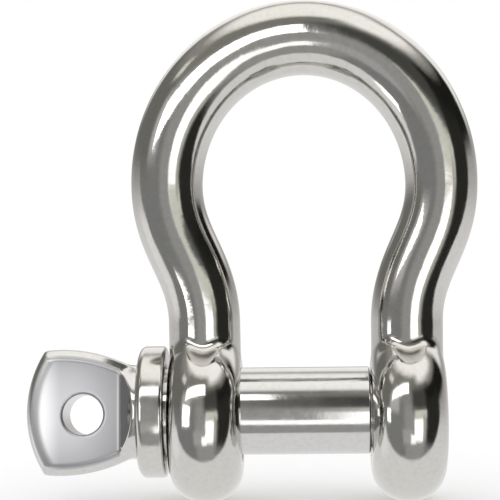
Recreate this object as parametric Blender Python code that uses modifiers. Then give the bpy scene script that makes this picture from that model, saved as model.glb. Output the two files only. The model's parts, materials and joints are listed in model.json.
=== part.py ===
"""Bow shackle with a screw pin.

Metres, +Z up towards the bow's crown. +X runs along the pin towards the threaded ear and -Y is
the front. The origin is on the pin's axis, midway between the two ears.
"""

import math

import bmesh
import bpy
from mathutils import Vector
from mathutils.geometry import interpolate_bezier

MM = 0.001
TURN = 2 * math.pi

# Bow: a round bar bent to a pear shape in the XZ plane, with a round ear on each leg
BAR_RADIUS = 7.85 * MM
CROWN_BAR_RADIUS = 8.2 * MM  # the bar thickens a little towards the top
FOOT_BAR_RADIUS = 6 * MM  # and tapers to this inside an ear
LEG_X = 22.2 * MM  # centre line of each leg
LEG_FOOT_Z = 2 * MM  # each leg starts here, inside its ear
LEG_TOP_Z = 19.2 * MM  # and is straight up to here
CROWN_X = 30.1 * MM  # centre line's half width where the bow is widest
CROWN_Z = 49.7 * MM  # height of that widest place
CROWN_TOP_Z = 81.9 * MM
SWELL_LOWER_HANDLE = 12.9 * MM  # how long the bend stays in line with the leg
SWELL_UPPER_HANDLE = 12.9 * MM  # and with the widest place
CIRCLE_HANDLE = 0.5523  # handle length that makes a quarter ellipse of a Bezier curve
BAR_SIDES = 20

JAW = 28.2 * MM  # clear width between the two ears
EAR_THICKNESS = 15.9 * MM
EAR_X = (JAW + EAR_THICKNESS) / 2  # middle of each ear
EAR_RADIUS = 18.6 * MM
EAR_Z = -1.35 * MM  # an ear's rim is centred just below the pin's axis
EAR_CORE_RADIUS = 5 * MM  # an ear is made open up to here, inside the hole that is cut in it
EAR_FLAT_RADIUS = 11.8 * MM  # each side of an ear is flat out to here, then rounded
NECK_FILLET = 2.5 * MM  # hollow between a leg's front and its ear
EAR_SIDES = 40

# Screw pin, 3/4 inch with 10 threads to the inch
PIN_RADIUS = 9.525 * MM
PIN_HOLE_RADIUS = 10.2 * MM
PIN_HOLE_CHAMFER = 0.5 * MM
SHANK_END_X = 13.8 * MM  # shoulder just short of the threaded ear's face
SHANK_CHAMFER = 0.5 * MM
PIN_TIP_X = 29.6 * MM
PIN_TIP_CHAMFER = 1.6 * MM
PIN_SIDES = 32

PITCH = 2.54 * MM
THREAD_CREST_RADIUS = 9.25 * MM
THREAD_DEPTH = 1.35 * MM
THREAD_CREST_WIDTH = 0.36 * MM
THREAD_FLANK = math.radians(30)
THREAD_GAP = 0.35 * MM  # radial room between the pin's thread and the ear's
THREAD_STEPS = 18  # flats in one turn
TAP_DRILL_RADIUS = THREAD_CREST_RADIUS + THREAD_GAP - THREAD_DEPTH - 0.1 * MM
COUNTERSINK_RADIUS = 10.3 * MM

# Collar
COLLAR_RADIUS = 14.4 * MM
COLLAR_LEFT_X = -36.7 * MM
COLLAR_RIGHT_X = -30.6 * MM
COLLAR_BORE_RADIUS = 9.9 * MM
COLLAR_LEFT_ROUND = (2.6 * MM, 1.7 * MM)  # rounding of its left rim, across and along the axis
COLLAR_RIGHT_ROUND = (1.0 * MM, 0.8 * MM)
COLLAR_SIDES = 40

# Spade head and the neck that joins it to the collar
NECK_RADIUS = 10.3 * MM
NECK_LEFT_X = -42.4 * MM
NECK_RIGHT_X = COLLAR_LEFT_X - 0.3 * MM  # just clear of the collar
NECK_OVERLAP = 1 * MM
SPADE_TILT = math.radians(6.5)  # the spade's front leans back, facing a little upwards
SPADE_THICKNESS = 11.8 * MM
SPADE_EDGE = 2.2 * MM  # width of its rounded edges
SPADE_CORNER = Vector((-57.3 * MM, 13.5 * MM))
SPADE_END_X = -61.3 * MM
SPADE_WIDEST = Vector((-53.5 * MM, 13.75 * MM))
SPADE_SIDE_RADIUS = 32 * MM  # its upper and lower edges are arcs
SPADE_RIGHT_X = -37.5 * MM
SPADE_HOLE_CENTRE = Vector((-48.6 * MM, -0.5 * MM))  # punched a little off the axis
SPADE_HOLE_RADIUS = 4.4 * MM
SPADE_HOLE_CHAMFER = 0.5 * MM
SPADE_HOLE_SIDES = 24
MILLED_HALF_THICKNESS = 5.8 * MM  # the neck is cut down to this behind the spade's flats
MILLED_START_X = -40.4 * MM
MILLED_END_X = -37.4 * MM

CUT_OVERRUN = 2 * MM  # how far a cutter reaches past what it cuts
WELD = 0.01 * MM  # points closer than this are one point

STEEL = (0.62, 0.61, 0.59, 1.0)


def clear_scene():
    for obj in list(bpy.data.objects):
        bpy.data.objects.remove(obj, do_unlink=True)


def add_collection(name):
    collection = bpy.data.collections.new(name)
    bpy.context.scene.collection.children.link(collection)
    return collection


def add_object(name, mesh, collection):
    obj = bpy.data.objects.new(name, mesh)
    collection.objects.link(obj)
    return obj


def steel(name, roughness):
    material = bpy.data.materials.new(name)
    material.use_nodes = True
    shader = material.node_tree.nodes["Principled BSDF"]
    shader.inputs["Base Color"].default_value = STEEL
    shader.inputs["Metallic"].default_value = 1.0
    shader.inputs["Roughness"].default_value = roughness
    return material


def finish_part(obj, material):
    """Give a part its material, with its round faces smooth and its edges sharp."""
    obj.data.materials.append(material)
    obj.data.shade_smooth()
    obj.data.set_sharp_from_angle(angle=math.radians(35))


def guide(name, mesh, cutters):
    """An object that only shapes a part."""
    obj = add_object(name, mesh, cutters)
    obj.hide_render = True
    obj.display_type = "WIRE"
    return obj


def join(obj, other, operation):
    modifier = obj.modifiers.new(other.name, "BOOLEAN")
    modifier.operation = operation
    modifier.solver = "EXACT"
    modifier.object = other


def profile_mesh(name, points, closed):
    """Edges through points given as (radius, height), for a Screw modifier about Z."""
    bm = bmesh.new()
    verts = [bm.verts.new((radius, 0, height)) for radius, height in points]
    pairs = list(zip(verts, verts[1:]))
    if closed:
        pairs.append((verts[-1], verts[0]))
    for pair in pairs:
        bm.edges.new(pair)
    mesh = bpy.data.meshes.new(name)
    bm.to_mesh(mesh)
    bm.free()
    return mesh


def lay_along_x(obj):
    """Turn an object made along Z so that it lies along X."""
    obj.rotation_euler = (0, math.pi / 2, 0)


def turn(obj, sides):
    """Turn an object's profile about the X axis, from heights that are then X positions."""
    modifier = obj.modifiers.new("turned", "SCREW")
    modifier.axis = "Z"
    modifier.steps = sides
    modifier.render_steps = sides
    modifier.use_merge_vertices = True
    modifier.merge_threshold = WELD
    lay_along_x(obj)


def quarter_round(corner, across, along, top, steps):
    """Points of a rim's rounding inside a corner given as (radius, height), top to bottom."""
    radius, height = corner
    angles = [math.pi / 2 * (1 - i / steps if top else i / steps) for i in range(steps + 1)]
    sign = 1 if top else -1
    return [
        (
            radius - across * (1 - math.cos(angle)),
            height - sign * along * (1 - math.sin(angle)),
        )
        for angle in angles
    ]


def loft(name, rings):
    """A closed skin over rings that have the same number of points."""
    bm = bmesh.new()
    rows = [[bm.verts.new(point) for point in ring] for ring in rings]
    for row, following in zip(rows, rows[1:]):
        for i in range(len(row)):
            before = i - 1
            bm.faces.new((row[before], row[i], following[i], following[before]))
    bm.faces.new(rows[0])
    bm.faces.new(rows[-1])
    bmesh.ops.recalc_face_normals(bm, faces=bm.faces)
    mesh = bpy.data.meshes.new(name)
    bm.to_mesh(mesh)
    bm.free()
    return mesh


def hole_profile(radius, chamfer, half_length):
    """Half section of a cutter for a through hole with both of its mouths chamfered."""
    outside = half_length + CUT_OVERRUN
    return [
        (0, outside),
        (radius + chamfer + CUT_OVERRUN, outside),
        (radius, half_length - chamfer),
        (radius, chamfer - half_length),
        (radius + chamfer + CUT_OVERRUN, -outside),
        (0, -outside),
    ]


def half_centre_line():
    """The bow's centre line from inside the right ear to just short of the crown's top."""
    fillet_z, touch_z = fillet_heights()
    points = [Vector((EAR_X, LEG_FOOT_Z)), Vector((EAR_X, touch_z - 2 * MM))]
    for i in range(5):
        share = i / 4
        x = EAR_X + (LEG_X - EAR_X) * share
        points.append(Vector((x, touch_z + (fillet_z - touch_z) * share)))
    leg_top = Vector((LEG_X, LEG_TOP_Z))
    widest = Vector((CROWN_X, CROWN_Z))
    top = Vector((0, CROWN_TOP_Z))
    points += interpolate_bezier(
        leg_top,
        leg_top + Vector((0, SWELL_LOWER_HANDLE)),
        widest - Vector((0, SWELL_UPPER_HANDLE)),
        widest,
        13,
    )[:-1]
    points += interpolate_bezier(
        widest,
        widest + Vector((0, (CROWN_TOP_Z - CROWN_Z) * CIRCLE_HANDLE)),
        top + Vector((CROWN_X * CIRCLE_HANDLE, 0)),
        top,
        13,
    )[:-1]
    return points


def fillet_heights():
    """Heights where a leg's front starts to flare, and where the flare meets the ear's rim."""
    rise = math.sqrt(
        (EAR_RADIUS + NECK_FILLET) ** 2 - (BAR_RADIUS + NECK_FILLET) ** 2
    )
    return EAR_Z + rise, EAR_Z + rise * EAR_RADIUS / (EAR_RADIUS + NECK_FILLET)


def bar_radius(z):
    """The bar's radius in the bow's plane, less the flare that widens it at the ears."""
    _, touch_z = fillet_heights()
    inside_ear = (touch_z - z) / (touch_z - LEG_FOOT_Z)
    if inside_ear > 0:
        return BAR_RADIUS + (FOOT_BAR_RADIUS - BAR_RADIUS) * inside_ear
    share = max((z - CROWN_Z) / (CROWN_TOP_Z - CROWN_Z), 0)
    return BAR_RADIUS + (CROWN_BAR_RADIUS - BAR_RADIUS) * share


def flare(z):
    """How much a leg widens to its front and back, to meet the ear below it in a hollow."""
    fillet_z, touch_z = fillet_heights()
    hollow = min(max(fillet_z - z, 0), fillet_z - touch_z)
    return NECK_FILLET - math.sqrt(NECK_FILLET**2 - hollow**2)


def bar_mesh():
    half = half_centre_line()
    line = half + [Vector((0, CROWN_TOP_Z))]
    line += [Vector((-x, z)) for x, z in reversed(half)]
    rings = []
    for i, centre in enumerate(line):
        along = line[min(i + 1, len(line) - 1)] - line[max(i - 1, 0)]
        outward = Vector((along.y, -along.x)).normalized()
        radius = bar_radius(centre.y)
        depth = radius + flare(centre.y)
        ring = []
        for side in range(BAR_SIDES):
            angle = TURN * side / BAR_SIDES
            in_plane = centre + outward * radius * math.cos(angle)
            ring.append((in_plane.x, depth * math.sin(angle), in_plane.y))
        rings.append(ring)
    return loft("bow", rings)


def ear(name, x, cutters):
    """A round ear, flat at its sides and rounded over its rim. Its middle is left open."""
    half = EAR_THICKNESS / 2
    corner = (EAR_RADIUS, half)
    across = EAR_RADIUS - EAR_FLAT_RADIUS
    points = [(EAR_CORE_RADIUS, half)]
    points += quarter_round(corner, across, half, True, 6)
    points += quarter_round((EAR_RADIUS, -half), across, half, False, 6)[1:]
    points.append((EAR_CORE_RADIUS, -half))
    obj = guide(name, profile_mesh(name, points, True), cutters)
    obj.location = (x, 0, EAR_Z)
    turn(obj, EAR_SIDES)
    return obj


def bore_cutter(name, x, radius, mouth_radius, cutters):
    """A cutter through an ear, opening out to mouth_radius at both of its faces."""
    points = hole_profile(radius, mouth_radius - radius, EAR_THICKNESS / 2)
    obj = guide(name, profile_mesh(name, points, False), cutters)
    obj.location.x = x
    turn(obj, EAR_SIDES)
    return obj


def threaded_rod(name, crest_radius, start, end, tip_chamfer, cutters):
    """A rod from start to end along X, with a right-hand thread and a chamfered far end."""
    root_radius = crest_radius - THREAD_DEPTH
    flank = THREAD_DEPTH * math.tan(THREAD_FLANK)
    crest_start = (PITCH - THREAD_CREST_WIDTH) / 2
    ridge = [
        (root_radius, 0),
        (root_radius, crest_start - flank),
        (crest_radius, crest_start),
        (crest_radius, crest_start + THREAD_CREST_WIDTH),
        (root_radius, crest_start + THREAD_CREST_WIDTH + flank),
        (root_radius, PITCH),
    ]
    # the thread starts a whole number of pitches from the origin, so any two rods match
    first_turn = math.floor(start / PITCH) - 2
    turns = math.ceil(end / PITCH) + 2 - first_turn
    bm = bmesh.new()
    verts = [
        bm.verts.new((radius, 0, height + first_turn * PITCH)) for radius, height in ridge
    ]
    edges = [bm.edges.new(pair) for pair in zip(verts, verts[1:])]
    bmesh.ops.spin(
        bm,
        geom=verts + edges,
        cent=(0, 0, 0),
        axis=(0, 0, 1),
        dvec=(0, 0, PITCH / THREAD_STEPS),
        angle=TURN * turns,
        steps=THREAD_STEPS * turns,
    )
    bmesh.ops.remove_doubles(bm, verts=bm.verts, dist=WELD)
    caps = bmesh.ops.holes_fill(bm, edges=bm.edges, sides=0)["faces"]
    bmesh.ops.poke(bm, faces=caps)
    bmesh.ops.recalc_face_normals(bm, faces=bm.faces)
    mesh = bpy.data.meshes.new(name)
    bm.to_mesh(mesh)
    bm.free()
    rod = guide(name, mesh, cutters)
    lay_along_x(rod)

    blank_radius = crest_radius + 1 * MM
    tip_radius = crest_radius - tip_chamfer
    blank_points = [
        (0, end),
        (tip_radius, end),
        (blank_radius, end - (blank_radius - tip_radius)),
        (blank_radius, start),
        (0, start),
    ]
    blank_name = name + "_blank"
    blank = guide(blank_name, profile_mesh(blank_name, blank_points, False), cutters)
    turn(blank, EAR_SIDES)
    join(rod, blank, "INTERSECT")
    return rod


def make_bow(parts, cutters):
    bow = add_object("bow", bar_mesh(), parts)
    join(bow, ear("plain_ear", -EAR_X, cutters), "UNION")
    join(bow, ear("threaded_ear", EAR_X, cutters), "UNION")
    mouth = PIN_HOLE_RADIUS + PIN_HOLE_CHAMFER
    join(bow, bore_cutter("pin_hole", -EAR_X, PIN_HOLE_RADIUS, mouth, cutters), "DIFFERENCE")
    drill = bore_cutter("tap_drill", EAR_X, TAP_DRILL_RADIUS, COUNTERSINK_RADIUS, cutters)
    join(bow, drill, "DIFFERENCE")
    reach = EAR_THICKNESS / 2 + CUT_OVERRUN
    crest_radius = THREAD_CREST_RADIUS + THREAD_GAP
    tap = threaded_rod("tap", crest_radius, EAR_X - reach, EAR_X + reach, 0, cutters)
    join(bow, tap, "DIFFERENCE")
    finish_part(bow, steel("bow_steel", 0.2))


def arc(centre, radius, start, end, steps):
    """Points of an arc from one direction to another, both given as points."""
    first = math.atan2(*reversed(start - centre))
    last = math.atan2(*reversed(end - centre))
    sweep = (last - first + math.pi) % TURN - math.pi
    angles = [first + sweep * i / steps for i in range(steps + 1)]
    return [centre + Vector((math.cos(a), math.sin(a))) * radius for a in angles]


def outline_object(name, points, half_depth_m, cutters):
    """A flat outline in X and Z, thickened along Y by half_depth_m each way."""
    curve = bpy.data.curves.new(name, "CURVE")
    curve.dimensions = "2D"
    curve.fill_mode = "BOTH"
    curve.extrude = half_depth_m
    spline = curve.splines.new("POLY")
    spline.points.add(len(points) - 1)
    for place, point in zip(spline.points, points):
        place.co = (point.x, point.y, 0, 1)
    spline.use_cyclic_u = True
    curve_object = add_object(name + "_curve", curve, cutters)
    bpy.context.view_layer.update()
    evaluated = curve_object.evaluated_get(bpy.context.evaluated_depsgraph_get())
    mesh = bpy.data.meshes.new_from_object(evaluated)
    bpy.data.objects.remove(curve_object, do_unlink=True)
    bm = bmesh.new()
    bm.from_mesh(mesh)
    bmesh.ops.remove_doubles(bm, verts=bm.verts, dist=WELD)
    bmesh.ops.dissolve_limit(
        bm, angle_limit=math.radians(0.5), verts=bm.verts, edges=bm.edges
    )
    bm.to_mesh(mesh)
    bm.free()
    obj = guide(name, mesh, cutters)
    obj.rotation_euler.x = math.pi / 2
    return obj


def spade_outline():
    """The spade seen from the front: two bowed edges and a bowed end, anticlockwise."""
    low = Vector((1, -1))
    top_centre = SPADE_WIDEST - Vector((0, SPADE_SIDE_RADIUS))
    drop = SPADE_SIDE_RADIUS**2 - (SPADE_RIGHT_X - SPADE_WIDEST.x) ** 2
    right = Vector((SPADE_RIGHT_X, top_centre.y + math.sqrt(drop)))
    top = arc(top_centre, SPADE_SIDE_RADIUS, right, SPADE_CORNER, 7)
    bulge = SPADE_CORNER.x - SPADE_END_X
    end_radius = (SPADE_CORNER.y**2 + bulge**2) / (2 * bulge)
    end_centre = Vector((SPADE_END_X + end_radius, 0))
    end = arc(end_centre, end_radius, SPADE_CORNER, SPADE_CORNER * low, 8)
    bottom = [point * low for point in reversed(top)]
    return top + end[1:-1] + bottom


def make_shank(parts):
    """The pin's plain round length, from inside the neck to its shoulder."""
    points = [
        (0, SHANK_END_X),
        (PIN_RADIUS - SHANK_CHAMFER, SHANK_END_X),
        (PIN_RADIUS, SHANK_END_X - SHANK_CHAMFER),
        (PIN_RADIUS, NECK_RIGHT_X - NECK_OVERLAP),
        (0, NECK_RIGHT_X - NECK_OVERLAP),
    ]
    pin = add_object("screw_pin", profile_mesh("screw_pin", points, False), parts)
    turn(pin, PIN_SIDES)
    return pin


def make_neck(tilt, cutters):
    """The thick length beside the collar, milled at a slope towards the spade's flats."""
    points = [
        (0, NECK_RIGHT_X),
        (NECK_RADIUS, NECK_RIGHT_X),
        (NECK_RADIUS, NECK_LEFT_X),
        (0, NECK_LEFT_X),
    ]
    neck = guide("neck", profile_mesh("neck", points, False), cutters)
    turn(neck, PIN_SIDES)
    outside = NECK_RADIUS + CUT_OVERRUN
    for name, side in (("front_mill", -1), ("back_mill", 1)):
        corners = [
            Vector((NECK_LEFT_X - CUT_OVERRUN, side * MILLED_HALF_THICKNESS)),
            Vector((MILLED_START_X, side * MILLED_HALF_THICKNESS)),
            Vector((MILLED_END_X, side * NECK_RADIUS)),
            Vector((MILLED_END_X, side * outside)),
            Vector((NECK_LEFT_X - CUT_OVERRUN, side * outside)),
        ]
        mill = outline_object(name, corners, outside, cutters)
        mill.rotation_euler.x = 0
        mill.parent = tilt
        join(neck, mill, "DIFFERENCE")
    return neck


def make_spade(tilt, cutters):
    spade = outline_object("spade", spade_outline(), SPADE_THICKNESS / 2, cutters)
    spade.parent = tilt
    rounding = spade.modifiers.new("rounded", "BEVEL")
    rounding.width = SPADE_EDGE
    rounding.segments = 3
    rounding.limit_method = "ANGLE"
    rounding.angle_limit = math.radians(40)
    return spade


def make_spade_hole(tilt, cutters):
    points = hole_profile(SPADE_HOLE_RADIUS, SPADE_HOLE_CHAMFER, SPADE_THICKNESS / 2)
    hole = guide("spade_hole", profile_mesh("spade_hole", points, False), cutters)
    turn(hole, SPADE_HOLE_SIDES)
    hole.parent = tilt
    hole.rotation_euler = (math.pi / 2, 0, 0)
    hole.location = (SPADE_HOLE_CENTRE.x, 0, SPADE_HOLE_CENTRE.y)
    return hole


def make_screw_pin(parts, cutters):
    tilt = bpy.data.objects.new("spade_tilt", None)
    cutters.objects.link(tilt)
    tilt.rotation_euler.x = -SPADE_TILT

    pin = make_shank(parts)
    join(pin, make_neck(tilt, cutters), "UNION")
    join(pin, make_spade(tilt, cutters), "UNION")
    join(pin, make_spade_hole(tilt, cutters), "DIFFERENCE")
    thread = threaded_rod(
        "pin_thread",
        THREAD_CREST_RADIUS,
        SHANK_END_X - 2 * MM,
        PIN_TIP_X,
        PIN_TIP_CHAMFER,
        cutters,
    )
    join(pin, thread, "UNION")
    finish_part(pin, steel("pin_steel", 0.15))


def make_collar(parts):
    """The ring between the spade's neck and the plain ear."""
    left_across, left_along = COLLAR_LEFT_ROUND
    right_across, right_along = COLLAR_RIGHT_ROUND
    points = [(COLLAR_BORE_RADIUS, COLLAR_RIGHT_X)]
    points += quarter_round(
        (COLLAR_RADIUS, COLLAR_RIGHT_X), right_across, right_along, True, 3
    )
    points += quarter_round(
        (COLLAR_RADIUS, COLLAR_LEFT_X), left_across, left_along, False, 4
    )
    points.append((COLLAR_BORE_RADIUS, COLLAR_LEFT_X))
    collar = add_object("pin_collar", profile_mesh("pin_collar", points, True), parts)
    turn(collar, COLLAR_SIDES)
    finish_part(collar, steel("collar_steel", 0.2))


def main():
    clear_scene()
    parts = add_collection("bow_shackle")
    cutters = add_collection("cutters")
    make_bow(parts, cutters)
    make_screw_pin(parts, cutters)
    make_collar(parts)


main()
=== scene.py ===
"""Looks of the bow shackle: polished stainless steel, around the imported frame.

The bow and the pin's head are implicit shapes. A coarse stand-in of each is voxel remeshed,
and its points are then settled on the exact surface, which gives the smooth transitions of a
forging. The shank, the threads and the collar are turned or swept profiles.
"""

import json
import math

import bmesh
import bpy
import numpy as np
from mathutils import Matrix, Vector, noise


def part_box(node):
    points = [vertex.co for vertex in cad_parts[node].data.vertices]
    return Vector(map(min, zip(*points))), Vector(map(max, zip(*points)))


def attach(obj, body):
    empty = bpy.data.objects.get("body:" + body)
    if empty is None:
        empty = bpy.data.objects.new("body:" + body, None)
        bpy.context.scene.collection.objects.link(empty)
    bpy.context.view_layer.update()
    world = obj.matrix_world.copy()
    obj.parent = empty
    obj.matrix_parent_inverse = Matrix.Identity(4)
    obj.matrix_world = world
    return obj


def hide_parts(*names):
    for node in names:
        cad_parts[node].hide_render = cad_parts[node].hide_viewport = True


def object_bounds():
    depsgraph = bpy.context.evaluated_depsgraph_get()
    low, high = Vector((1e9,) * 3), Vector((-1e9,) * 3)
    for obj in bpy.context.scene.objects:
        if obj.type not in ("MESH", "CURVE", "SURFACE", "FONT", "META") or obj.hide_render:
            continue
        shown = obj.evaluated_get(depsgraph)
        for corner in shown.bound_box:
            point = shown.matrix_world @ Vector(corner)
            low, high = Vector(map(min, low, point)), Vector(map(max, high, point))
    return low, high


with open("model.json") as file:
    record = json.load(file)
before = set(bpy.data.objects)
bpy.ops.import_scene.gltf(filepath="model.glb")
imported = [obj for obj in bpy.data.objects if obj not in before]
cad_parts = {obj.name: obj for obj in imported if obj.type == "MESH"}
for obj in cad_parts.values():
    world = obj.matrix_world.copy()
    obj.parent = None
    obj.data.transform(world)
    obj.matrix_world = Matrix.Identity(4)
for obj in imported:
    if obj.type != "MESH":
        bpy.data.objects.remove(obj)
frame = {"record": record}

MM = 0.001
TURN = 2 * math.pi

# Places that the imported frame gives
cad_low, cad_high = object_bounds()
bow_low, bow_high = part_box("bow")
pin_low, pin_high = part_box("screw_pin")
collar_low, collar_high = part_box("pin_collar")
mounts = {mount["name"]: mount for mount in frame["record"]["mounts"]}
JAW_X = mounts["threaded_ear_jaw_face"]["pos_m"][0]
EAR_OUTER_X = mounts["threaded_ear_outer_face"]["pos_m"][0]
spade_normal = Vector(mounts["spade_front_face"]["axis"])
turns_per_metre = frame["record"]["behaviour"]["couplings"][0]["ratio"] / TURN

# Bow
BAR_RADIUS = 7.85 * MM
CROWN_BAR_RADIUS = 8.2 * MM
LEG_X = 22.2 * MM
LEG_FOOT_Z = 2 * MM
LEG_TOP_Z = 19.2 * MM
CROWN_X = bow_high.x - BAR_RADIUS
CROWN_Z = 49.7 * MM
CROWN_TOP_Z = bow_high.z - CROWN_BAR_RADIUS
SWELL_HANDLE = 12.9 * MM
CIRCLE_HANDLE = 0.5523  # handle length that makes a quarter ellipse of a Bezier curve
EAR_X = (JAW_X + EAR_OUTER_X) / 2
EAR_HALF = (EAR_OUTER_X - JAW_X) / 2
EAR_RADIUS = bow_high.y
EAR_Z = bow_low.z + EAR_RADIUS
EAR_FLAT_RADIUS = 11.4 * MM
LEDGE_DEPTH = 15.5 * MM  # where the ledge on top of an ear starts, in front and behind
LEDGE_Z = 10.8 * MM
LEDGE_NORMAL = math.radians(67)  # its normal's elevation
LEDGE_EDGE = 1.5 * MM
LEDGE_HALF_WIDTH = 3.6 * MM  # where it has risen by LEDGE_RISE, which keeps it off the sides
LEDGE_RISE = 1.6 * MM
NECK_BLEND = 1.8 * MM  # reach of the hollow where a leg's front and back meet its ear
SIDE_BLEND = 0.4 * MM  # and of the one at its sides, where the two are almost flush
BLEND_CHANGE = (2 * MM, 7 * MM)  # depths between which the one becomes the other
PIN_HOLE_RADIUS = 10.2 * MM
HOLE_BLEND = 1.6 * MM
TAP_COUNTERSINK = 0.6 * MM

# Screw pin
PIN_RADIUS = 9.525 * MM
SHOULDER_X = 13.8 * MM
SHOULDER_ROUNDING = 0.45 * MM
PITCH = 1 / turns_per_metre
THREAD_CREST_RADIUS = 9.25 * MM
THREAD_DEPTH = 1.35 * MM
THREAD_CREST_WIDTH = 0.36 * MM
THREAD_FLANK = math.radians(30)
THREAD_GAP = 0.35 * MM
THREAD_TIP_CHAMFER = 1.6 * MM
NECK_RADIUS = 10.3 * MM
NECK_SINK = 0.6 * MM  # how far the neck runs into the collar's recess
NECK_OVERLAP = 2 * MM  # and into the spade
NECK_SPADE_BLEND = 0.6 * MM
SPADE_TILT = math.atan2(spade_normal.z, -spade_normal.y)
SPADE_HALF_THICKNESS = 5.9 * MM
SPADE_WIDEST = Vector((-53.5 * MM, 13.75 * MM))
SPADE_SIDE_RADIUS = 32 * MM
SPADE_CORNER = Vector((-57.3 * MM, 13.5 * MM))
SPADE_CHAMFER = 2.1 * MM
SPADE_EDGE_BLEND = 0.45 * MM
SPADE_END_BLEND = 3.6 * MM
SPADE_HOLE_X = -48.6 * MM
SPADE_HOLE_Z = -0.5 * MM
SPADE_HOLE_RADIUS = 4.4 * MM
SPADE_HOLE_BLEND = 0.7 * MM
MILLED_START_X = -40.4 * MM
MILLED_END_X = -37.4 * MM

# Collar
COLLAR_RADIUS = collar_high.z
COLLAR_LEFT_X = collar_low.x
COLLAR_RIGHT_X = collar_high.x
COLLAR_LEFT_ROUND = (2.6 * MM, 1.7 * MM)  # across and along the axis
COLLAR_RIGHT_ROUND = (1.0 * MM, 0.8 * MM)
COLLAR_BORE_GAP = 0.05 * MM
RECESS_RIM_GAP = 0.03 * MM
RECESS_FLOOR_GAP = 0.05 * MM

# Meshes
MERGE_DISTANCE = 0.002 * MM
BOW_VOXEL = 0.4 * MM
BOW_WAVES = ((0.03 * MM, 14 * MM), (0.008 * MM, 4 * MM))  # height and length of each
HEAD_VOXEL = 0.25 * MM
HEAD_WAVES = ((0.015 * MM, 9 * MM),)
SLOPE_STEP = 0.005 * MM  # between the two points that a shape's slope is measured from
LEAST_SLOPE_SQUARE = 0.05  # so that nothing jumps where a shape is almost level
LONGEST_MOVE = 1 * MM  # for one drop on the surface
SHORTEST_MOVE = 0.001 * MM
RELAX_SHARE = 0.6  # of the way to the middle of its neighbours, for each point
SMOOTH_ANGLE = math.radians(40)

# Steel: the sizes of its marks, how much each one does, and the part of its noise that shows
PEEL_SIZE, PEEL_HEIGHT, PEEL_RANGE = 3.5 * MM, 0.03 * MM, (0.3, 0.7)
GRAIN_SIZE, GRAIN_HEIGHT = 0.45 * MM, 0.0018 * MM
SCRATCH_SIZE, SCRATCH_STRETCH, SCRATCH_RANGE = 0.22 * MM, 0.06, (0.55, 0.75)
SCRATCH_ROUGHNESS = 0.06
ROUGHNESS_SPREAD = 0.3
TONE_SIZE, TONE_DARKEST, TONE_RANGE = 1.1 * MM, 0.93, (0.25, 0.6)
# the spade's flats are satin from grinding; a painted highlight at their far end fades to
# painted shade
FLAT_EDGE = 0.9 * MM
FLAT_END_PAINTED_HIGHLIGHT = (0.85, 0.85, 0.87, 1)
FLAT_NEAR_PAINTED_SHADE = (0.44, 0.44, 0.46, 1)
FLAT_PAINTED_LIGHT_FADE = (-59 * MM, -53 * MM)  # along X, from the end's colour to the other
FLAT_ROUGHNESS = 0.36


def add_object(name, data):
    obj = bpy.data.objects.new(name, data)
    bpy.context.scene.collection.objects.link(obj)
    return obj


def mesh_from(name, verts, faces):
    """A mesh whose faces all look outwards."""
    mesh = bpy.data.meshes.new(name)
    mesh.from_pydata([tuple(v) for v in verts], [], faces)
    bm = bmesh.new()
    bm.from_mesh(mesh)
    bmesh.ops.remove_doubles(bm, verts=bm.verts, dist=MERGE_DISTANCE)
    bmesh.ops.dissolve_degenerate(bm, edges=bm.edges, dist=MERGE_DISTANCE)
    bmesh.ops.recalc_face_normals(bm, faces=bm.faces)
    bm.to_mesh(mesh)
    bm.free()
    return mesh


def evaluated_mesh(obj):
    """The object's mesh with its modifiers applied; the object itself is removed."""
    bpy.context.view_layer.update()
    evaluated = obj.evaluated_get(bpy.context.evaluated_depsgraph_get())
    mesh = bpy.data.meshes.new_from_object(evaluated)
    bpy.data.objects.remove(obj, do_unlink=True)
    return mesh


def tube_faces(rows, sides):
    """Faces between rings of points."""
    faces = []
    for row in range(rows - 1):
        a, b = row * sides, (row + 1) * sides
        for i in range(sides):
            j = (i + 1) % sides
            faces.append((a + i, a + j, b + j, b + i))
    return faces


def revolve(name, profile, sides):
    """A closed shape turned about X; its (x, radius) points run from axis to axis or loop."""
    verts = []
    for x, radius in profile:
        for i in range(sides):
            angle = TURN * i / sides
            verts.append((x, radius * math.cos(angle), radius * math.sin(angle)))
    return mesh_from(name, verts, tube_faces(len(profile), sides))


def rod(name, radius, start, end, sides=48):
    return revolve(name, [(start, 0), (start, radius), (end, radius), (end, 0)], sides)


def join_meshes(name, meshes):
    """Several meshes as the loose parts of one."""
    bm = bmesh.new()
    for mesh in meshes:
        bm.from_mesh(mesh)
    joined = bpy.data.meshes.new(name)
    bm.to_mesh(joined)
    bm.free()
    return joined


def voxel_remesh(mesh, voxel):
    obj = add_object(mesh.name, mesh)
    modifier = obj.modifiers.new("remesh", "REMESH")
    modifier.mode = "VOXEL"
    modifier.voxel_size = voxel
    return evaluated_mesh(obj)


def boolean(mesh, other, operation):
    """The mesh cut by, joined with or kept inside another one."""
    name = mesh.name
    obj, tool = add_object(name, mesh), add_object(other.name, other)
    modifier = obj.modifiers.new("boolean", "BOOLEAN")
    modifier.operation = operation
    modifier.solver = "EXACT"
    modifier.object = tool
    result = evaluated_mesh(obj)
    bpy.data.objects.remove(tool, do_unlink=True)
    result.name = name
    return result


def mesh_points(mesh):
    points = np.empty(len(mesh.vertices) * 3)
    mesh.vertices.foreach_get("co", points)
    return points.reshape(-1, 3)


def set_mesh_points(mesh, points):
    mesh.vertices.foreach_set("co", points.ravel())
    mesh.update()


# Implicit shapes: functions of points, as rows of x, y and z, that are negative inside


def smooth_min(a, b, reach):
    """The nearer of two surfaces, with a hollow of that reach where they meet."""
    near = np.maximum(reach - np.abs(a - b), 0) / reach
    return np.minimum(a, b) - near * near * reach / 4


def smooth_max(a, b, reach):
    return -smooth_min(-a, -b, reach)


def smooth_step(value, start, end):
    share = np.clip((value - start) / (end - start), 0, 1)
    return share * share * (3 - 2 * share)


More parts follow.
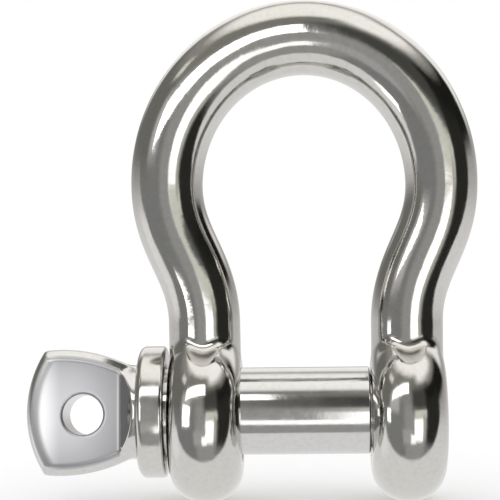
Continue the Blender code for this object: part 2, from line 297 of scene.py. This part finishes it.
def centre_line_controls():
    """Bezier control points, as (x, z), of the bow's right half, from inside the ear up."""
    leg_foot = np.array((EAR_X, LEG_FOOT_Z))
    leg_top = np.array((LEG_X, LEG_TOP_Z))
    widest = np.array((CROWN_X, CROWN_Z))
    top = np.array((0, CROWN_TOP_Z))
    up = np.array((0, 1))
    out = np.array((1, 0))
    leg = [leg_foot + (leg_top - leg_foot) * share for share in (0, 1 / 3, 2 / 3, 1)]
    swell = [leg_top, leg_top + up * SWELL_HANDLE, widest - up * SWELL_HANDLE, widest]
    rise = up * (CROWN_TOP_Z - CROWN_Z) * CIRCLE_HANDLE
    crown = [widest, widest + rise, top + out * CROWN_X * CIRCLE_HANDLE, top]
    return np.array([leg, swell, crown])


LINE = centre_line_controls()
LINE_SAMPLES = 120  # on each of its curves
GRID_CELL = 0.5 * MM
GRID_LOW = np.array((-2 * MM, bow_low.z - 4 * MM))
GRID_SIZE = (90, 240)
GRID_CHUNKS = 20  # worked out one after another, to save memory


def line_at(along):
    """Points and slopes on the centre line; along is a curve's number plus its Bezier t."""
    curve = np.clip(along.astype(int), 0, len(LINE) - 1)
    t = (along - curve)[:, None]
    s = 1 - t
    p0, p1, p2, p3 = (LINE[curve, i] for i in range(4))
    point = s**3 * p0 + 3 * s * s * t * p1 + 3 * s * t * t * p2 + t**3 * p3
    slope = 3 * (s * s * (p1 - p0) + 2 * s * t * (p2 - p1) + t * t * (p3 - p2))
    return point, slope


def nearest_grid():
    """For each cell of a grid over (x, z), the place along the line nearest to it."""
    along = (np.arange(LINE_SAMPLES * len(LINE)) + 0.5) / LINE_SAMPLES
    samples = line_at(along)[0]
    cells = np.stack(np.meshgrid(*(np.arange(n) for n in GRID_SIZE), indexing="ij"), 2)
    places = GRID_LOW + (cells.reshape(-1, 2) + 0.5) * GRID_CELL
    chunks = np.array_split(places, GRID_CHUNKS)
    nearest = [((chunk[:, None] - samples) ** 2).sum(2).argmin(1) for chunk in chunks]
    return along[np.concatenate(nearest)].reshape(GRID_SIZE)


NEAREST = nearest_grid()


def nearest_on_line(points):
    """The place on the centre line nearest to each point (x, z)."""
    cell = ((points - GRID_LOW) / GRID_CELL).astype(int)
    cell = np.clip(cell, 0, np.array(GRID_SIZE) - 1)
    along = NEAREST[cell[:, 0], cell[:, 1]]
    for _ in range(2):
        place, slope = line_at(along)
        step = ((points - place) * slope).sum(1) / (slope * slope).sum(1)
        along = np.clip(along + step, 0, len(LINE))
    return line_at(along)[0]


def bar_radius(z):
    """The bar gets slightly thicker towards the crown's top."""
    share = np.clip((z - CROWN_Z) / (CROWN_TOP_Z - CROWN_Z), 0, 1)
    return BAR_RADIUS + (CROWN_BAR_RADIUS - BAR_RADIUS) * share


def ear_shape(x, y, z):
    """Flat at its sides, half an ellipse over its rim, and a sloping ledge up to the leg."""
    rim = EAR_RADIUS - EAR_FLAT_RADIUS
    out = np.maximum(np.hypot(y, z - EAR_Z) - EAR_FLAT_RADIUS, 0) / rim
    side = np.abs(x - EAR_X) / EAR_HALF
    size = np.hypot(out, side)
    ear = size * (size - 1) / np.maximum(np.hypot(out / rim, side / EAR_HALF), 1)
    ledge = (np.abs(y) - LEDGE_DEPTH) * math.cos(LEDGE_NORMAL)
    ledge += (z - LEDGE_Z) * math.sin(LEDGE_NORMAL)
    ledge -= ((x - EAR_X) / LEDGE_HALF_WIDTH) ** 2 * LEDGE_RISE
    return smooth_max(ear, ledge, LEDGE_EDGE)


def bow_shape(points):
    """The bar with its two ears and the plain ear's hole; the other ear is tapped later."""
    x, y, z = np.abs(points[:, 0]), points[:, 1], points[:, 2]
    line = nearest_on_line(np.stack((x, z), 1))
    bar = np.hypot(np.hypot(x - line[:, 0], z - line[:, 1]), y) - bar_radius(line[:, 1])
    share = smooth_step(np.abs(y), *BLEND_CHANGE)
    reach = SIDE_BLEND + (NECK_BLEND - SIDE_BLEND) * share
    solid = smooth_min(bar, ear_shape(x, y, z), reach)
    hole = PIN_HOLE_RADIUS - np.hypot(y, z)
    return np.where(points[:, 0] < 0, smooth_max(solid, hole, HOLE_BLEND), solid)


def spade_shape(x, y, z):
    """A chamfer runs along the spade's edges, and its far end is rounded over."""
    flat = np.abs(y) - SPADE_HALF_THICKNESS
    centre_z = SPADE_WIDEST.y - SPADE_SIDE_RADIUS
    side = np.hypot(x - SPADE_WIDEST.x, np.abs(z) - centre_z) - SPADE_SIDE_RADIUS
    bulge = SPADE_CORNER.x - pin_low.x
    end_radius = (SPADE_CORNER.y**2 + bulge**2) / (2 * bulge)
    end = np.hypot(x - pin_low.x - end_radius, z) - end_radius
    face = smooth_max(flat, end, SPADE_END_BLEND)
    spade = smooth_max(face, side, SPADE_EDGE_BLEND)
    chamfer = (flat + side + SPADE_CHAMFER) / math.sqrt(2)
    spade = smooth_max(spade, chamfer, SPADE_EDGE_BLEND)
    spade = smooth_max(spade, x - MILLED_END_X, SPADE_EDGE_BLEND)
    hole = SPADE_HOLE_RADIUS - np.hypot(x - SPADE_HOLE_X, z - SPADE_HOLE_Z)
    return smooth_max(spade, hole, SPADE_HOLE_BLEND)


def head_shape(points):
    """The spade, and the neck that is milled down to the spade's flats."""
    cos, sin = math.cos(SPADE_TILT), math.sin(SPADE_TILT)
    x = points[:, 0]
    y = points[:, 1] * cos - points[:, 2] * sin
    z = points[:, 1] * sin + points[:, 2] * cos
    slope = math.atan2(NECK_RADIUS - SPADE_HALF_THICKNESS, MILLED_END_X - MILLED_START_X)
    milled = (np.abs(y) - SPADE_HALF_THICKNESS) * math.cos(slope)
    milled -= (x - MILLED_START_X) * math.sin(slope)
    neck = np.hypot(y, z) - NECK_RADIUS
    neck = smooth_max(neck, milled, SPADE_EDGE_BLEND)
    neck = np.maximum(neck, x - (COLLAR_LEFT_X + NECK_SINK))
    neck = np.maximum(neck, MILLED_START_X - NECK_OVERLAP - x)
    return smooth_min(spade_shape(x, y, z), neck, NECK_SPADE_BLEND)


def surface_step(shape, points):
    """How far each point has to move to reach the surface, and the surface's normal there."""
    value = shape(points)
    slope = np.empty_like(points)
    for axis in range(3):
        moved = points.copy()
        moved[:, axis] += SLOPE_STEP
        slope[:, axis] = (shape(moved) - value) / SLOPE_STEP
    square = np.maximum((slope * slope).sum(1), LEAST_SLOPE_SQUARE)
    move = -(value / square)[:, None] * slope
    length = np.maximum(np.linalg.norm(move, axis=1), SHORTEST_MOVE)
    move *= np.minimum(1, LONGEST_MOVE / length)[:, None]
    return move, slope / np.sqrt(square)[:, None]


def settle(mesh, shape, drops, relaxes):
    """Puts a mesh's points on the shape's surface and spreads them evenly; gives the normals.

    The points drop onto the surface, then relax and drop again; the counts say how often.
    """
    points = mesh_points(mesh)
    count = len(points)
    edges = np.empty(len(mesh.edges) * 2, np.int32)
    mesh.edges.foreach_get("vertices", edges)
    first, second = edges.reshape(-1, 2).T
    links = np.bincount(edges, minlength=count)[:, None]
    for _ in range(drops):
        move, normal = surface_step(shape, points)
        points += move
    for _ in range(relaxes):
        total = np.empty_like(points)
        for axis in range(3):
            total[:, axis] = np.bincount(first, points[second, axis], count)
            total[:, axis] += np.bincount(second, points[first, axis], count)
        pull = total / links - points
        pull -= (pull * normal).sum(1)[:, None] * normal
        points += pull * RELAX_SHARE
        move, normal = surface_step(shape, points)
        points += move
    set_mesh_points(mesh, points)
    return normal


def add_waves(mesh, normal, waves):
    """Low waves left by polishing by hand, as (height, length) pairs, inside the CAD box."""
    points = mesh_points(mesh)
    lift = np.zeros(len(points))
    for height, length in waves:
        lift += height * np.array([noise.noise(Vector(p)) for p in points / length])
    set_mesh_points(mesh, np.clip(points + normal * lift[:, None], cad_low, cad_high))


def rough_bar():
    """A coarse loft of the bar along the centre line, down to inside the ears."""
    sides = 24
    rings = 48
    start = 0.6  # a place along the line that is inside the ear
    half = line_at(np.linspace(start, len(LINE), rings, endpoint=False))[0]
    line = [Vector(p) for p in half] + [Vector((0, CROWN_TOP_Z))]
    line += [Vector((-x, z)) for x, z in reversed(half)]
    verts = []
    for i, centre in enumerate(line):
        along = line[min(i + 1, len(line) - 1)] - line[max(i - 1, 0)]
        outward = Vector((along.y, -along.x)).normalized()
        radius = float(bar_radius(centre.y))
        for side in range(sides):
            angle = TURN * side / sides
            place = centre + outward * radius * math.cos(angle)
            verts.append((place.x, radius * math.sin(angle), place.y))
    faces = tube_faces(len(line), sides)
    faces.append(tuple(range(sides)))
    faces.append(tuple(range(len(verts) - sides, len(verts))))
    return mesh_from("rough_bar", verts, faces)


def rough_ear(x):
    steps = 12
    rim = EAR_RADIUS - EAR_FLAT_RADIUS
    profile = [(-EAR_HALF, 0)]
    for i in range(steps + 1):
        angle = math.pi * i / steps
        profile.append((-EAR_HALF * math.cos(angle), EAR_FLAT_RADIUS + rim * math.sin(angle)))
    profile.append((EAR_HALF, 0))
    mesh = revolve("rough_ear", profile, sides=48)
    mesh.transform(Matrix.Translation((x, 0, EAR_Z)))
    return mesh


def helix_ridge(crest_radius):
    """One turn's section of a thread, as (x, radius), with its crest's edges broken."""
    root_radius = crest_radius - THREAD_DEPTH
    flank = THREAD_DEPTH * math.tan(THREAD_FLANK)
    start = (PITCH - THREAD_CREST_WIDTH) / 2
    end = start + THREAD_CREST_WIDTH
    break_width, break_depth = 0.07 * MM, 0.12 * MM
    return np.array(
        [
            (0, root_radius),
            (start - flank, root_radius),
            (start - break_width, crest_radius - break_depth),
            (start + break_width / 2, crest_radius),
            (end - break_width / 2, crest_radius),
            (end + break_width, crest_radius - break_depth),
            (end + flank, root_radius),
        ]
    )


def threaded_rod(name, crest_radius, start, end, before, limit):
    """A right-hand thread along X, on from the (x, radius) points before it.

    limit gives a radius for a place along X and a radius, for what is turned off or opened up.
    """
    sides = 144
    ridge = helix_ridge(crest_radius)
    first_turn = math.floor(start / PITCH) - 2
    turns = math.ceil(end / PITCH) + 2 - first_turn
    rows = turns * len(ridge)
    turn_of, ridge_of = np.divmod(np.arange(rows), len(ridge))
    verts = []
    for side in range(sides):
        shift = side / sides
        x = (first_turn + turn_of + shift) * PITCH + ridge[ridge_of, 0]
        x = np.clip(x, start, end)
        in_turn = (x / PITCH - shift) % 1 * PITCH
        radius = limit(x, np.interp(in_turn, *ridge.T, period=PITCH))
        x = np.concatenate(([point[0] for point in before], x, [end]))
        radius = np.concatenate(([point[1] for point in before], radius, [0]))
        cos, sin = math.cos(TURN * shift), math.sin(TURN * shift)
        verts += zip(x, radius * cos, radius * sin)
    column = len(before) + rows + 1
    faces = []
    for side in range(sides):
        a, b = side * column, (side + 1) % sides * column
        # after a whole turn the thread's rows have moved on by one turn
        ahead = len(ridge) if side == sides - 1 else 0
        for row in range(column - 1):
            ends = [row, row + 1]
            if row >= len(before):
                ends = [min(end_row + ahead, column - 1) for end_row in ends]
            faces.append((a + row, a + row + 1, b + ends[1], b + ends[0]))
    return mesh_from(name, verts, faces)


def tap_mesh():
    """What is cut out of the threaded ear: the thread, and a countersink on each side."""
    crest = THREAD_CREST_RADIUS + THREAD_GAP
    reach = EAR_HALF + 2 * MM
    mouth = crest + TAP_COUNTERSINK

    def limit(x, radius):
        return np.clip(np.abs(x - EAR_X) - EAR_HALF + mouth, radius, mouth)

    start = [(EAR_X - reach, 0)]
    return threaded_rod("tap", crest, EAR_X - reach, EAR_X + reach, start, limit)


def shade_smooth(obj):
    obj.data.shade_smooth()
    obj.data.set_sharp_from_angle(angle=SMOOTH_ANGLE)


def make_bow():
    plain_ear = rough_ear(-EAR_X)
    drill = rod("rough_hole", PIN_HOLE_RADIUS, -EAR_X - 2 * EAR_HALF, -EAR_X + 2 * EAR_HALF)
    plain_ear = boolean(plain_ear, drill, "DIFFERENCE")
    rough = join_meshes("bow_body", [rough_bar(), plain_ear, rough_ear(EAR_X)])
    mesh = voxel_remesh(rough, BOW_VOXEL)
    normal = settle(mesh, bow_shape, drops=4, relaxes=8)
    add_waves(mesh, normal, BOW_WAVES)
    mesh = boolean(mesh, tap_mesh(), "DIFFERENCE")
    bow = add_object("bow_body", mesh)
    shade_smooth(bow)
    return bow


def rough_head():
    """A coarse head for the remesh: a drilled block and a disc for the neck."""
    end_inset, side_inset, neck_start_radius = 0.5 * MM, 1 * MM, 9 * MM
    half = Vector((0, SPADE_HALF_THICKNESS, SPADE_WIDEST.y - side_inset))
    low = Vector((pin_low.x + end_inset, 0, 0)) - half
    high = Vector((MILLED_END_X - end_inset, 0, 0)) + half
    bm = bmesh.new()
    bmesh.ops.create_cube(bm, size=1)
    block = bpy.data.meshes.new("rough_spade")
    bm.to_mesh(block)
    bm.free()
    size = Matrix.Diagonal((*(high - low), 1))
    block.transform(Matrix.Translation((low + high) / 2) @ size)
    reach = 10 * MM  # past the block on both sides
    drill = rod("rough_hole", SPADE_HOLE_RADIUS, -reach, reach, sides=32)
    place = Matrix.Translation((SPADE_HOLE_X, 0, SPADE_HOLE_Z))
    drill.transform(place @ Matrix.Rotation(math.pi / 2, 4, "Z"))
    block = boolean(block, drill, "DIFFERENCE")
    block.transform(Matrix.Rotation(-SPADE_TILT, 4, "X"))
    right = COLLAR_LEFT_X + NECK_SINK
    profile = [(MILLED_START_X, 0), (MILLED_START_X, neck_start_radius)]
    profile += [(right, NECK_RADIUS), (right, 0)]
    return join_meshes("pin_body", [block, revolve("rough_neck", profile, sides=64)])


def shank_mesh():
    """The pin from inside its neck to its tip."""
    steps = 6
    start = COLLAR_LEFT_X - 1 * MM
    profile = [(start, 0), (start, PIN_RADIUS)]
    for i in range(steps + 1):
        angle = math.pi / 2 * i / steps
        x = SHOULDER_X - SHOULDER_ROUNDING * (1 - math.sin(angle))
        profile.append((x, PIN_RADIUS - SHOULDER_ROUNDING * (1 - math.cos(angle))))
    tip = THREAD_CREST_RADIUS - THREAD_TIP_CHAMFER

    def limit(x, radius):
        return np.minimum(radius, pin_high.x - x + tip)

    return threaded_rod("shank", THREAD_CREST_RADIUS, SHOULDER_X, pin_high.x, profile, limit)


def make_pin():
    mesh = voxel_remesh(rough_head(), HEAD_VOXEL)
    normal = settle(mesh, head_shape, drops=8, relaxes=10)
    add_waves(mesh, normal, HEAD_WAVES)
    pin = add_object("pin_body", boolean(mesh, shank_mesh(), "UNION"))
    shade_smooth(pin)
    return pin


def quarter_round(face_x, across, along, side, steps):
    """The collar's rounding from its rim to a face, as (x, radius)."""
    points = []
    for i in range(steps + 1):
        angle = math.pi / 2 * i / steps
        x = face_x - side * along * (1 - math.sin(angle))
        points.append((x, COLLAR_RADIUS - across * (1 - math.cos(angle))))
    return points


def make_collar():
    bore = PIN_RADIUS + COLLAR_BORE_GAP
    recess = NECK_RADIUS + RECESS_RIM_GAP
    recess_x = COLLAR_LEFT_X + NECK_SINK + RECESS_FLOOR_GAP
    profile = [(recess_x, bore), (recess_x, recess), (COLLAR_LEFT_X, recess)]
    left = quarter_round(COLLAR_LEFT_X, *COLLAR_LEFT_ROUND, side=-1, steps=12)
    right = quarter_round(COLLAR_RIGHT_X, *COLLAR_RIGHT_ROUND, side=1, steps=8)
    profile += list(reversed(left)) + right + [(COLLAR_RIGHT_X, bore), (recess_x, bore)]
    collar = add_object("collar_ring", revolve("collar_ring", profile, sides=160))
    shade_smooth(collar)
    return collar


class Nodes:
    """Makes and links the nodes of one node tree."""

    def __init__(self, tree):
        self.tree = tree
        tree.nodes.clear()

    def add(self, kind, inputs=(), output=0, **settings):
        """Adds a node and gives one of its outputs, or all of them for an output of None."""
        node = self.tree.nodes.new("ShaderNode" + kind)
        for name, value in settings.items():
            setattr(node, name, value)
        for name, value in dict(inputs).items():
            socket = node.inputs[name]
            if isinstance(value, bpy.types.NodeSocket):
                self.tree.links.new(value, socket)
            else:
                socket.default_value = value
        return tuple(node.outputs) if output is None else node.outputs[output]

    def math(self, operation, *values):
        return self.add("Math", enumerate(values), operation=operation)

    def split(self, vector):
        """The x, y and z of a vector."""
        return self.add("SeparateXYZ", {"Vector": vector}, output=None)

    def turned(self, first, second, angle):
        """The first of two coordinates once both are turned by that angle."""
        kept = self.math("MULTIPLY", first, math.cos(angle))
        return self.math("SUBTRACT", kept, self.math("MULTIPLY", second, math.sin(angle)))

    def ramp(self, value, low, high, to_low=0, to_high=1, smooth=True):
        inputs = {"Value": value, "From Min": low, "From Max": high}
        inputs.update({"To Min": to_low, "To Max": to_high})
        kind = "SMOOTHSTEP" if smooth else "LINEAR"
        return self.add("MapRange", inputs, interpolation_type=kind)

    def blend(self, share, first, second):
        """From one colour to another; these sockets share their names with other types'."""
        inputs = {0: share, 6: first, 7: second}
        return self.add("Mix", inputs, output=2, data_type="RGBA")

    def noise(self, vector, size, detail, roughness=0.5):
        inputs = {"Vector": vector, "Scale": 1 / size}
        inputs.update({"Detail": detail, "Roughness": roughness})
        return self.add("TexNoise", inputs)


def flats_satin_and_painted_light(nodes, place, colour, rough):
    """Satin and a painted highlight and shade over the spade's two flats, and nowhere else on
    the pin.
    """
    x, y, z = nodes.split(place)
    depth = nodes.math("ABSOLUTE", nodes.turned(y, z, SPADE_TILT))
    depth = nodes.math("SUBTRACT", depth, SPADE_HALF_THICKNESS)
    outer = nodes.ramp(depth, -FLAT_EDGE, -FLAT_EDGE / 2)
    share = nodes.math("MULTIPLY", outer, nodes.math("LESS_THAN", x, MILLED_START_X))
    # painted reflection: a painted highlight at the flats' far end, fading to darker painted
    # shade
    flat_painted_light = nodes.blend(nodes.ramp(x, *FLAT_PAINTED_LIGHT_FADE), FLAT_END_PAINTED_HIGHLIGHT, FLAT_NEAR_PAINTED_SHADE)
    satin_roughness = nodes.math("MULTIPLY", share, FLAT_ROUGHNESS)
    return nodes.blend(share, colour, flat_painted_light), nodes.math("MAXIMUM", rough, satin_roughness)


def steel(name, base, roughness, peel, flats=False):
    """Polished stainless steel with orange peel, speckle and faint scratches."""
    material = bpy.data.materials.new(name)
    material.use_nodes = True
    nodes = Nodes(material.node_tree)
    place = nodes.add("TexCoord", output="Object")
    low = nodes.noise(place, PEEL_SIZE, detail=3)
    fine = nodes.noise(place, GRAIN_SIZE, detail=2)
    height = nodes.math("ADD", nodes.math("MULTIPLY", low, PEEL_HEIGHT * peel),
                        nodes.math("MULTIPLY", fine, GRAIN_HEIGHT * peel))
    bump = nodes.add("Bump", {"Height": height, "Strength": 1.0, "Distance": 1.0})
    stretch = {"Vector": place, "Scale": (1, 1, SCRATCH_STRETCH)}
    scratches = nodes.noise(nodes.add("Mapping", stretch), SCRATCH_SIZE, detail=1)
    scratches = nodes.ramp(scratches, *SCRATCH_RANGE)
    least, most = roughness * (1 - ROUGHNESS_SPREAD), roughness * (1 + ROUGHNESS_SPREAD)
    rough = nodes.math("ADD", nodes.ramp(low, *PEEL_RANGE, least, most),
                       nodes.math("MULTIPLY", scratches, SCRATCH_ROUGHNESS))
    dark = [channel * TONE_DARKEST for channel in base]
    tone = nodes.noise(place, TONE_SIZE, detail=4, roughness=0.65)
    tone = nodes.ramp(tone, *TONE_RANGE)
    colour = nodes.blend(tone, (*dark, 1), (*base, 1))
    if flats:
        # the spade's flats: satin roughness, and a painted highlight and painted shade in
        # their colour
        colour, rough = flats_satin_and_painted_light(nodes, place, colour, rough)
    shader = nodes.add("BsdfPrincipled", {
        "Base Color": colour, "Metallic": 1.0, "Roughness": rough, "Normal": bump})
    nodes.add("OutputMaterial", {"Surface": shader}, output=None)
    return material


def show_instead(piece, node, material):
    """Shows a piece in place of a node, on the body that has the node's name."""
    piece.data.materials.clear()
    piece.data.materials.append(material)
    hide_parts(node)
    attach(piece, node)


bow_steel = steel("bow_steel", (0.63, 0.62, 0.60), roughness=0.09, peel=1.0)
pin_steel = steel("pin_steel", (0.64, 0.635, 0.63), roughness=0.10, peel=0.5, flats=True)
collar_steel = steel("collar_steel", (0.63, 0.62, 0.60), roughness=0.14, peel=0.7)
show_instead(make_bow(), "bow", bow_steel)
show_instead(make_pin(), "screw_pin", pin_steel)
show_instead(make_collar(), "pin_collar", collar_steel)

# Camera
CAMERA_DISTANCE = 340 * MM
CAMERA_YAW = math.radians(2)
CAMERA_ROLL = math.radians(-0.74)
AIM = Vector((-12.0 * MM, 0, 35.4 * MM))
VIEW_WIDTH = 109.95 * MM  # of what the camera sees at AIM
SENSOR_WIDTH = 36


def add_camera():
    data = bpy.data.cameras.new("camera")
    camera = add_object("camera", data)
    forward = Vector((-math.sin(CAMERA_YAW), math.cos(CAMERA_YAW), 0))
    camera.location = AIM - forward * CAMERA_DISTANCE
    facing = forward.to_track_quat("-Z", "Y").to_matrix().to_4x4()
    roll = Matrix.Rotation(CAMERA_ROLL, 4, "Z")
    camera.rotation_euler = (facing @ roll).to_euler()
    data.sensor_width = SENSOR_WIDTH
    data.lens = SENSOR_WIDTH * CAMERA_DISTANCE / VIEW_WIDTH
    data.clip_start = 1 * MM
    bpy.context.scene.camera = camera


add_camera()


# The studio, as the steel mirrors it: azimuths run from the front (-Y) towards +X, in degrees
BASE_TONES = (  # elevation and colour
    (-90, (0.95, 0.94, 0.925)),
    (-20, (0.93, 0.92, 0.91)),
    (-8, (0.84, 0.83, 0.82)),
    (2, (0.58, 0.57, 0.56)),
    (12, (0.42, 0.41, 0.39)),
    (30, (0.34, 0.33, 0.31)),
    (52, (0.36, 0.35, 0.32)),
    (60, (0.9, 0.89, 0.85)),
    (66, (1.28, 1.26, 1.2)),
    (90, (1.35, 1.33, 1.27)),
)
# azimuths, elevations, softness in both, colour: each one lies over those before it
PANELS = {
    "room": ((-98, 95), (-80, 24), (10, 12), (0.27, 0.272, 0.27)),
    "room_middle": ((-20, 40), (-70, 22), (16, 12), (0.40, 0.40, 0.39)),
    "left_wall": ((-170, -60), (6, 42), (30, 16), (0.21, 0.205, 0.19)),
    "left_lamp": ((-86, -68), (38, 46), (7, 5), (0.95, 0.93, 0.85)),
    "front_ceiling": ((-60, 40), (36, 58), (20, 8), (0.27, 0.27, 0.24)),
    "right_ceiling": ((3, 60), (12, 42), (16, 16), (0.08, 0.08, 0.073)),
    "overhead_softbox": ((25, 115), (48, 90), (30, 14), (1.35, 1.33, 1.29)),
    "right_curtain": ((46, 130), (12, 38), (14, 10), (0.015, 0.015, 0.013)),
    "room_foot": ((43, 90), (-30, 22), (10, 14), (0.03, 0.03, 0.027)),
    "back_softbox": ((130, 215), (16, 50), (16, 14), (1.2, 1.18, 1.15)),
    "left_card": ((-108, -80), (-32, -8), (10, 10), (1.05, 1.04, 1.03)),
    "left_window": ((-66, -36), (9, 30), (12, 10), (0.6, 0.595, 0.58)),
    "right_window": ((8, 32), (-27, 2), (5, 8), (2.2, 2.18, 2.12)),
    "window_head": ((9, 43), (2, 12), (6, 4), (0.85, 0.85, 0.76)),
    "window_side": ((32, 40), (-24, 6), (4, 6), (0.55, 0.55, 0.49)),
    "window_sill": ((-26, 3), (-30, -12), (10, 8), (0.5, 0.5, 0.5)),
    "window_foot": ((-3, 12), (-31, -19), (4, 4), (1.7, 1.69, 1.65)),
}
ABOVE_TABLE = ("room", "room_middle", "room_foot")  # the table hides their lower parts
TABLE_EDGE = math.radians(54)  # how far below the horizon its straight edge is, in front
TABLE_EDGE_SOFTNESS = 0.05
CARD_COLOUR = (1.0, 0.99, 0.975)
# Two near cards: centre and what it faces, in mm, then width and height in mm, and power
CARDS = {
    # above what the legs mirror, in front of the crown's left
    "high_card": ((-114, -158, 143), (-114, 0, 143), (232, 76), 0.13),
    # below what the legs mirror, in front of the spade and to the left of both ears
    "low_card": ((-58.5, -47, 5.5), (-24, -18, 2), (20, 23), 0.0032),
}
ROOM_WHITE = (1.0, 1.0, 1.0, 1)
FLOOR_COLOUR = (0.8, 0.8, 0.8, 1)
FLOOR_GLOW = 0.22  # makes up for what the floor does not send back: it reads as white
FLOOR_SIZE = 6.0  # metres, far past the edges of every view


def band(nodes, value, low, high, softness):
    """One between low and high, falling to nothing over a soft edge."""
    half = softness / 2
    rise = nodes.ramp(value, low - half, low + half)
    fall = nodes.ramp(value, high - half, high + half, 1, 0)
    return nodes.math("MULTIPLY", rise, fall)


def add_world():
    """Plain white to the camera and the floor; the steel mirrors the studio."""
    world = bpy.data.worlds.new("studio")
    bpy.context.scene.world = world
    world.use_nodes = True
    world.cycles.sampling_method = "NONE"
    nodes = Nodes(world.node_tree)
    x, y, z = nodes.split(nodes.add("TexCoord", output="Generated"))
    azimuth = nodes.math("ARCTAN2", x, nodes.math("MULTIPLY", y, -1.0))
    azimuth = nodes.math("DEGREES", azimuth)
    elevation = nodes.math("DEGREES", nodes.math("ARCSINE", z))
    above = nodes.turned(z, y, TABLE_EDGE)
    above = nodes.ramp(above, -TABLE_EDGE_SOFTNESS, TABLE_EDGE_SOFTNESS)
    colour = (*BASE_TONES[0][1], 1)
    for (low, _), (high, tone) in zip(BASE_TONES, BASE_TONES[1:]):
        share = nodes.ramp(elevation, low, high, smooth=False)
        colour = nodes.blend(share, colour, (*tone, 1))
    for name, panel in PANELS.items():
        azimuths, elevations, (soft_across, soft_up), tone = panel
        across = band(nodes, azimuth, *azimuths, soft_across)
        if max(azimuths) > 180:
            behind = nodes.math("ADD", azimuth, 360.0)
            behind = band(nodes, behind, *azimuths, soft_across)
            across = nodes.math("MAXIMUM", across, behind)
        up = band(nodes, elevation, *elevations, soft_up)
        share = nodes.math("MULTIPLY", across, up)
        if name in ABOVE_TABLE:
            share = nodes.math("MULTIPLY", share, above)
        colour = nodes.blend(share, colour, (*tone, 1))
    glossy = nodes.add("LightPath", output="Is Glossy Ray")
    colour = nodes.blend(glossy, ROOM_WHITE, colour)
    background = nodes.add("Background", {"Color": colour})
    nodes.add("OutputWorld", {"Surface": background}, output=None)


def add_card(name, centre, target, size, power):
    """A small soft light that only the steel mirrors."""
    data = bpy.data.lights.new(name, "AREA")
    data.shape = "RECTANGLE"
    data.size, data.size_y = (length * MM for length in size)
    data.energy = power
    data.color = CARD_COLOUR
    light = add_object(name, data)
    centre, target = Vector(centre) * MM, Vector(target) * MM
    light.location = centre
    light.rotation_euler = (target - centre).to_track_quat("-Z", "Y").to_euler()
    light.visible_diffuse = False


def add_floor():
    bm = bmesh.new()
    bmesh.ops.create_grid(bm, x_segments=1, y_segments=1, size=FLOOR_SIZE / 2)
    mesh = bpy.data.meshes.new("floor")
    bm.to_mesh(mesh)
    bm.free()
    floor = add_object("floor", mesh)
    floor.location = (0, 0, bow_low.z)
    material = bpy.data.materials.new("floor")
    material.use_nodes = True
    nodes = Nodes(material.node_tree)
    lit = nodes.add("BsdfDiffuse", {"Color": FLOOR_COLOUR})
    glow = nodes.add("Emission", {"Color": ROOM_WHITE, "Strength": FLOOR_GLOW})
    shader = nodes.add("AddShader", {0: lit, 1: glow})
    nodes.add("OutputMaterial", {"Surface": shader}, output=None)
    mesh.materials.append(material)
    floor.visible_glossy = False


add_world()
for card, values in CARDS.items():
    add_card(card, *values)
add_floor()
bpy.context.scene.view_settings.view_transform = "Standard"
